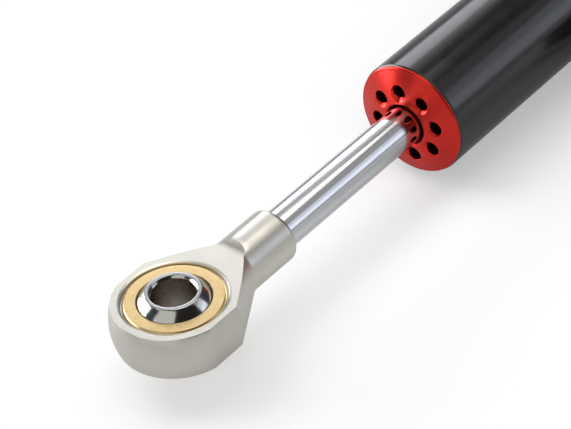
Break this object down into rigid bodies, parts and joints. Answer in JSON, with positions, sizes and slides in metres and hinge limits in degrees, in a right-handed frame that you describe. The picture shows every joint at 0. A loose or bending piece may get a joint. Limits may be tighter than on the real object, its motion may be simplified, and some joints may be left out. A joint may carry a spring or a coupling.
{
  "type": "motorcycle steering damper",
  "caption": "Linear through-rod steering damper with a spherical rod end, dished end caps, a tube clamp with a swivelling pivot bearing and a click adjuster on the far end of the rod.",
  "frame": {"origin": "centre of the rod-end ball, on the axis of its bore", "axes": "+X along the rod from the rod end towards the cylinder and the adjuster, +Z along the bore of the rod-end ball, away from the surface that the damper lies on"},
  "size_m": [0.2654, 0.065, 0.029],
  "materials": {
    "black_anodised": "satin black anodised aluminium",
    "red_anodised": "turned aluminium, bright red anodised",
    "satin_aluminium": "turned, milled and bead-blasted aluminium",
    "hard_chrome": "ground and polished hard chrome",
    "polished_steel": "polished bearing steel",
    "race_brass": "turned brass",
    "bearing_liner": "woven low-friction liner, dark",
    "ptfe": "filled low-friction polymer",
    "nitrile_rubber": "matt black nitrile rubber",
    "bronze": "sintered bronze",
    "spring_steel": "ground spring steel",
    "black_steel": "black oxide steel"
  },
  "bodies": {
    "cylinder": {"cylinder_tube": "black_anodised", "front_cap": "red_anodised", "rear_cap": "red_anodised", "front_wiper": "nitrile_rubber", "rear_wiper": "nitrile_rubber", "front_rod_seal": "nitrile_rubber", "rear_rod_seal": "nitrile_rubber", "front_guide_bush": "bronze", "rear_guide_bush": "bronze", "front_cap_oring": "nitrile_rubber", "rear_cap_oring": "nitrile_rubber", "tube_clamp": "black_anodised", "pinch_screws": "black_steel", "clamp_bearing_race": "race_brass"},
    "clamp_liner": {"clamp_bearing_liner": "bearing_liner"},
    "clamp_ball": {"clamp_bearing_ball": "polished_steel"},
    "piston_band": {"piston_ring": "ptfe"},
    "rod": {"piston_rod": "hard_chrome", "piston": "bronze", "front_shims": "spring_steel", "rear_shims": "spring_steel", "support_washers": "spring_steel", "piston_retaining_rings": "spring_steel", "rod_end_housing": "satin_aluminium", "rod_end_race": "race_brass", "adjuster_collar": "black_anodised", "collar_grub_screw": "black_steel", "click_spring": "spring_steel", "knob_retaining_ring": "spring_steel"},
    "eye_liner": {"rod_end_liner": "bearing_liner"},
    "eye_ball": {"rod_end_ball": "polished_steel"},
    "knob": {"adjuster_knob": "red_anodised", "knob_insert": "race_brass"},
    "needle": {"metering_needle": "spring_steel", "needle_oring": "nitrile_rubber", "needle_key_pin": "spring_steel"},
    "click": {"click_ball": "polished_steel"}
  },
  "joints": [
    {"name": "rod_stroke", "type": "slide", "parent": "cylinder", "child": "piston_band", "axis": [1, 0, 0], "range_m": [-0.034, 0.034]},
    {"name": "rod_turn", "type": "hinge", "parent": "piston_band", "child": "rod", "pos_m": [0.1301, 0, 0], "axis": [1, 0, 0], "continuous": true},
    {"name": "eye_swivel", "type": "hinge", "parent": "rod", "child": "eye_liner", "pos_m": [0, 0, 0], "axis": [0, 0, 1], "continuous": true},
    {"name": "eye_tilt", "type": "hinge", "parent": "eye_liner", "child": "eye_ball", "pos_m": [0, 0, 0], "axis": [0, 1, 0], "range_deg": [-13, 13]},
    {"name": "clamp_swivel", "type": "hinge", "parent": "cylinder", "child": "clamp_liner", "pos_m": [0.1301, -0.027, 0], "axis": [0, 0, 1], "continuous": true},
    {"name": "clamp_tilt", "type": "hinge", "parent": "clamp_liner", "child": "clamp_ball", "pos_m": [0.1301, -0.027, 0], "axis": [0, 1, 0], "range_deg": [-13, 13]},
    {"name": "knob_turn", "type": "hinge", "parent": "rod", "child": "knob", "pos_m": [0.1301, 0, 0], "axis": [1, 0, 0], "range_deg": [-150.1, 150.1]},
    {"name": "needle_slide", "type": "slide", "parent": "rod", "child": "needle", "axis": [1, 0, 0], "range_m": [-0.00029167, 0.00029167]},
    {"name": "click_slide", "type": "slide", "parent": "rod", "child": "click", "axis": [1, 0, 0], "range_m": [0, 0.0003], "stiffness_N_per_m": 500}
  ],
  "couplings": [
    {"joint": "knob_turn", "follows": "needle_slide", "rad_per_m": 8976}
  ]
}
